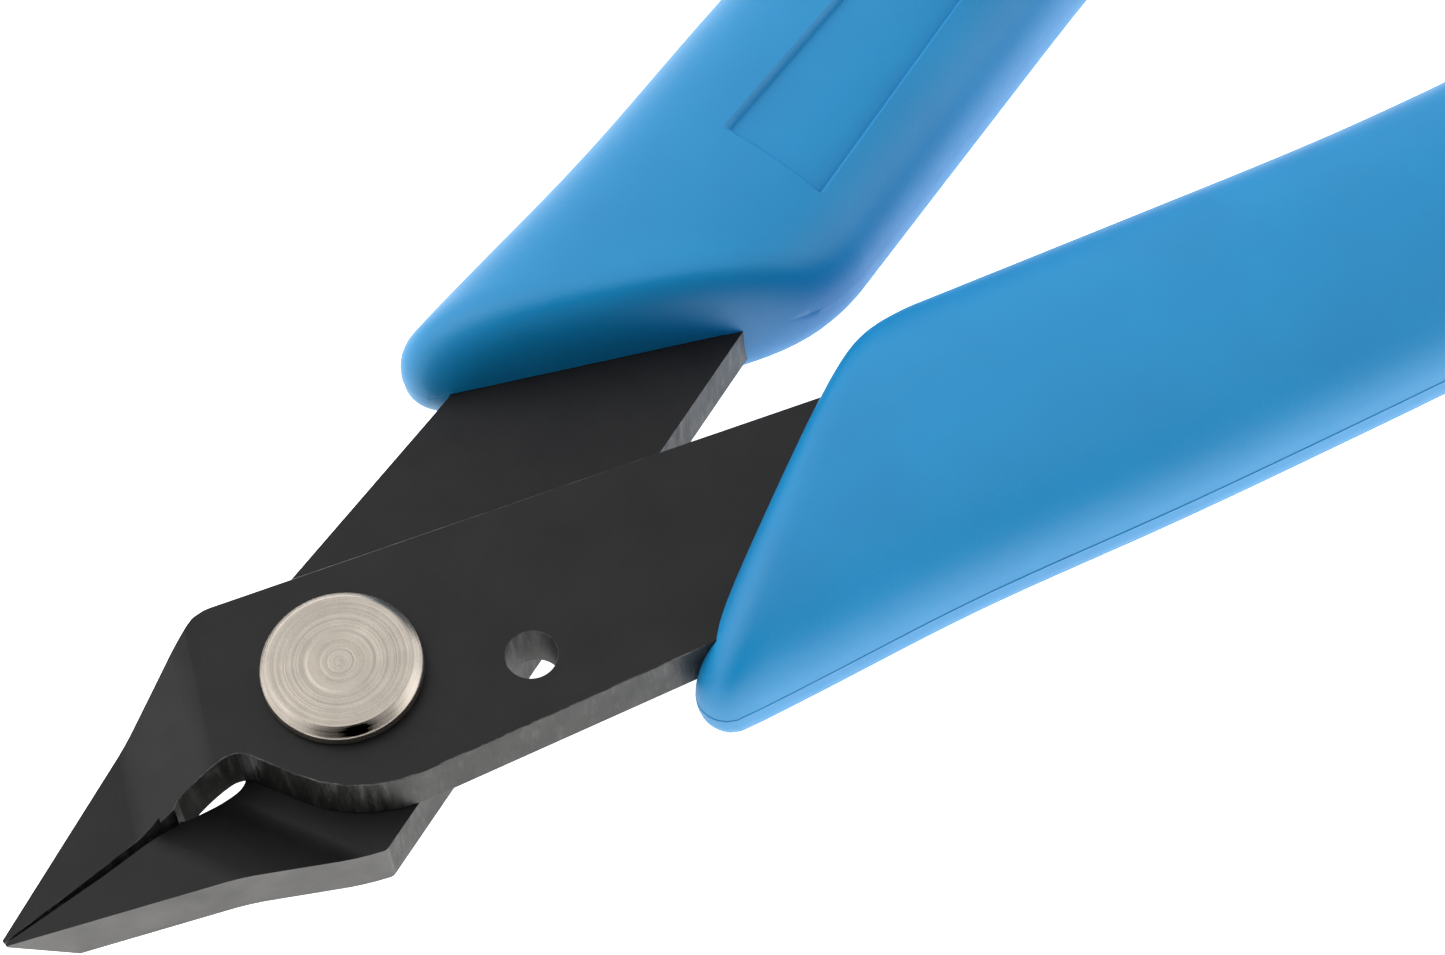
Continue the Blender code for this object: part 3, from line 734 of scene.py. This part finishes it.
def oxide_look():
    """Black oxide on a rolled plate: nearly black, a little cloudy, with a fine satin tooth."""
    look = Look("black_oxide", (0.02, 0.02, 0.021), 0.45, 0.0)
    cloud = look.noise(260, 3)
    look.link(look.ramp(cloud, [(0.3, (0.0035, 0.0035, 0.0045)), (0.7, (0.008, 0.0075, 0.008))]),
              look.shader.inputs["Base Color"])
    tooth = look.noise(5200, 2)
    look.link(look.grey(look.noise(700, 3), 0.42, 0.56), look.shader.inputs["Roughness"])
    look.link(look.bump(tooth, 0.000012, 0.6), look.shader.inputs["Normal"])
    look.set("Specular IOR Level", 0.3)
    return look.material


def sheared_look():
    """The blanked edge: bare grey steel torn into short upright streaks, with oxide in the lows."""
    look = Look("sheared_edge", (0.16, 0.16, 0.155), 0.5, 0.7)
    streaks = look.noise(2600, 4, look.stretched((1, 1, 0.16)), 0.62)
    patches = look.noise(520, 3, look.stretched((1, 1, 0.7), (0.3, 0.1, 0)))
    tone = look.math("ADD", look.math("MULTIPLY", streaks, 0.65), look.math("MULTIPLY", patches, 0.35))
    stops = [(0.34, (0.020, 0.020, 0.020)), (0.52, (0.042, 0.042, 0.039)), (0.68, (0.115, 0.115, 0.109))]
    look.link(look.ramp(tone, stops), look.shader.inputs["Base Color"])
    look.link(look.grey(streaks, 0.36, 0.62, 0.3, 0.7), look.shader.inputs["Roughness"])
    look.link(look.bump(tone, 0.00006, 0.9), look.shader.inputs["Normal"])
    return look.material


def ground_look():
    """The jaw's ground flank: light grey steel with fine grinding lines square to the edge."""
    look = Look("ground_flank", (0.3, 0.3, 0.29), 0.38, 0.85)
    lines = look.noise(5200, 3, look.stretched((1, 0.3, 0.22)), 0.6)
    soft = look.noise(420, 2)
    tone = look.math("ADD", look.math("MULTIPLY", lines, 0.5), look.math("MULTIPLY", soft, 0.5))
    look.link(look.ramp(tone, [(0.35, (0.048, 0.047, 0.045)), (0.65, (0.10, 0.098, 0.093))]),
              look.shader.inputs["Base Color"])
    look.link(look.grey(lines, 0.3, 0.5, 0.3, 0.7), look.shader.inputs["Roughness"])
    look.link(look.bump(lines, 0.00002, 0.7), look.shader.inputs["Normal"])
    return look.material


def edge_highlight_look():
    """Broken edges painted a lighter grey than the faces, as their highlight, mottled with darker spots."""
    look = Look("painted_edge_highlight", (0.1, 0.1, 0.1), 0.38, 0.6)
    highlight_mottle = look.noise(900, 4, None, 0.65)
    # Painted highlight: the edges go from near black to light grey in mottled patches
    look.link(look.ramp(highlight_mottle, [(0.42, (0.03, 0.03, 0.03)), (0.6, (0.14, 0.138, 0.135))]),
              look.shader.inputs["Base Color"])
    look.link(look.bump(highlight_mottle, 0.00002, 0.6), look.shader.inputs["Normal"])
    return look.material


def turned_look():
    """Lathe-turned steel: rings about the pivot axis, slightly warm."""
    look = Look("turned_steel", (0.6, 0.57, 0.53), 0.34, 1.0)
    shift = look.stretched((1, 1, 1), tuple(-PIVOT))
    part = look.tree.nodes.new("ShaderNodeSeparateXYZ")
    look.link(shift, part.inputs["Vector"])
    squares = [look.math("POWER", part.outputs[axis], 2.0) for axis in ("X", "Y")]
    radius = look.math("POWER", look.math("ADD", *squares), 0.5)
    joined = look.tree.nodes.new("ShaderNodeCombineXYZ")
    look.link(radius, joined.inputs["X"])
    look.link(part.outputs["Z"], joined.inputs["Y"])
    rings = look.noise(9000, 3, joined.outputs["Vector"], 0.7)
    blotch = look.noise(900, 3)
    tone = look.math("ADD", look.math("MULTIPLY", rings, 0.7), look.math("MULTIPLY", blotch, 0.3))
    look.link(look.ramp(tone, [(0.3, (0.33, 0.292, 0.25)), (0.7, (0.50, 0.452, 0.395))]),
              look.shader.inputs["Base Color"])
    look.link(look.grey(rings, 0.22, 0.36, 0.3, 0.7), look.shader.inputs["Roughness"])
    grain = look.noise(7000, 2)
    look.link(look.bump(rings, 0.000016, 0.8, look.bump(grain, 0.00001, 0.5)), look.shader.inputs["Normal"])
    return look.material


def rubber_look():
    """Soft moulded rubber: saturated blue, satin, with a very fine moulded tooth."""
    look = Look("blue_rubber", (0.001, 0.2, 0.5), 0.5, 0.0)
    cloud = look.noise(160, 3)
    look.link(look.ramp(cloud, [(0.3, (0.0, 0.222, 0.495)), (0.7, (0.0, 0.243, 0.53))]),
              look.shader.inputs["Base Color"])
    tooth = look.noise(3600, 3)
    look.link(look.grey(look.noise(900, 2), 0.44, 0.54), look.shader.inputs["Roughness"])
    look.link(look.bump(tooth, 0.00002, 0.5), look.shader.inputs["Normal"])
    return look.material


def wire_look():
    """Drawn spring wire with faint lengthwise die marks."""
    look = Look("spring_steel", (0.22, 0.22, 0.225), 0.32, 1.0)
    marks = look.noise(3000, 3, look.stretched((0.3, 0.3, 1)))
    look.link(look.ramp(marks, [(0.35, (0.15, 0.15, 0.155)), (0.65, (0.3, 0.3, 0.3))]),
              look.shader.inputs["Base Color"])
    look.link(look.bump(marks, 0.00001, 0.5), look.shader.inputs["Normal"])
    return look.material


# --- Studio ---------------------------------------------------------------------------------------------


def make_camera():
    data = bpy.data.cameras.new("camera")
    data.sensor_width = SENSOR_WIDTH
    data.lens = LENS
    data.clip_start = CAMERA_NEAREST
    camera = bpy.data.objects.new("camera", data)
    bpy.context.scene.collection.objects.link(camera)
    view = CAMERA_VIEW.normalized()
    right = view.cross(CAMERA_UP).normalized()
    up = right.cross(view)
    basis = Matrix((right, up, -view)).transposed().to_4x4()
    camera.matrix_world = Matrix.Translation(PIVOT + CAMERA_FROM_PIVOT) @ basis
    bpy.context.scene.camera = camera


def make_softbox(name, location, size, power):
    """A soft rectangular lamp that points at the frame's origin."""
    data = bpy.data.lights.new(name, "AREA")
    data.shape = "RECTANGLE"
    data.size, data.size_y = size
    data.energy = power
    light = bpy.data.objects.new(name, data)
    bpy.context.scene.collection.objects.link(light)
    light.location = location
    light.rotation_euler = (-Vector(location)).to_track_quat("-Z", "Y").to_euler()


def make_floor():
    bpy.ops.mesh.primitive_plane_add(size=FLOOR_SIZE)
    floor = bpy.context.object
    floor.name = "floor"
    look = Look("pale_floor", (0.85, 0.85, 0.85), 0.7, 0.0)
    look.set("Emission Color", (1, 1, 1, 1))
    look.set("Emission Strength", FLOOR_GLOW)
    floor.data.materials.append(look.material)


def make_world():
    """A white tent that is lighter or darker in a few broad patches."""
    world = bpy.data.worlds.new("studio")
    bpy.context.scene.world = world
    world.use_nodes = True
    tree = world.node_tree
    background = tree.nodes["Background"]
    background.inputs["Color"].default_value = (1, 1, 1, 1)
    way = tree.nodes.new("ShaderNodeTexCoord").outputs["Generated"]
    total = None
    for direction, wide, narrow, change in TENT_PATCHES:
        dot = tree.nodes.new("ShaderNodeVectorMath")
        dot.operation = "DOT_PRODUCT"
        tree.links.new(way, dot.inputs[0])
        dot.inputs[1].default_value = Vector(direction).normalized()
        patch = tree.nodes.new("ShaderNodeMapRange")
        patch.interpolation_type = "SMOOTHSTEP"
        patch.inputs["From Min"].default_value = math.cos(math.radians(wide))
        patch.inputs["From Max"].default_value = math.cos(math.radians(narrow))
        patch.inputs["To Max"].default_value = change
        tree.links.new(dot.outputs["Value"], patch.inputs["Value"])
        joined = tree.nodes.new("ShaderNodeMath")
        tree.links.new(patch.outputs["Result"], joined.inputs[0])
        if total is None:
            joined.inputs[1].default_value = TENT_LIGHT
        else:
            tree.links.new(total, joined.inputs[1])
        total = joined.outputs["Value"]
    tree.links.new(total, background.inputs["Strength"])


def main():
    make_camera()
    rubber = rubber_look()
    steel = [oxide_look(), sheared_look(), ground_look(), edge_highlight_look()]
    make_lever("front_plate", "front_lever", "front_half", steel)
    make_lever("rear_plate", "rear_lever", "rear_half", steel)
    make_rivet(turned_look())
    make_grip("front_moulding", "front_grip", "front_half", FRONT_SEAT, False, rubber)
    make_grip("rear_moulding", "rear_grip", "rear_half", REAR_SEAT, True, rubber)
    make_spring(wire_look())
    make_floor()
    make_world()
    make_softbox("key", KEY_PLACE, KEY_SIZE, KEY_POWER)
    bpy.context.scene.view_settings.view_transform = "Standard"


main()
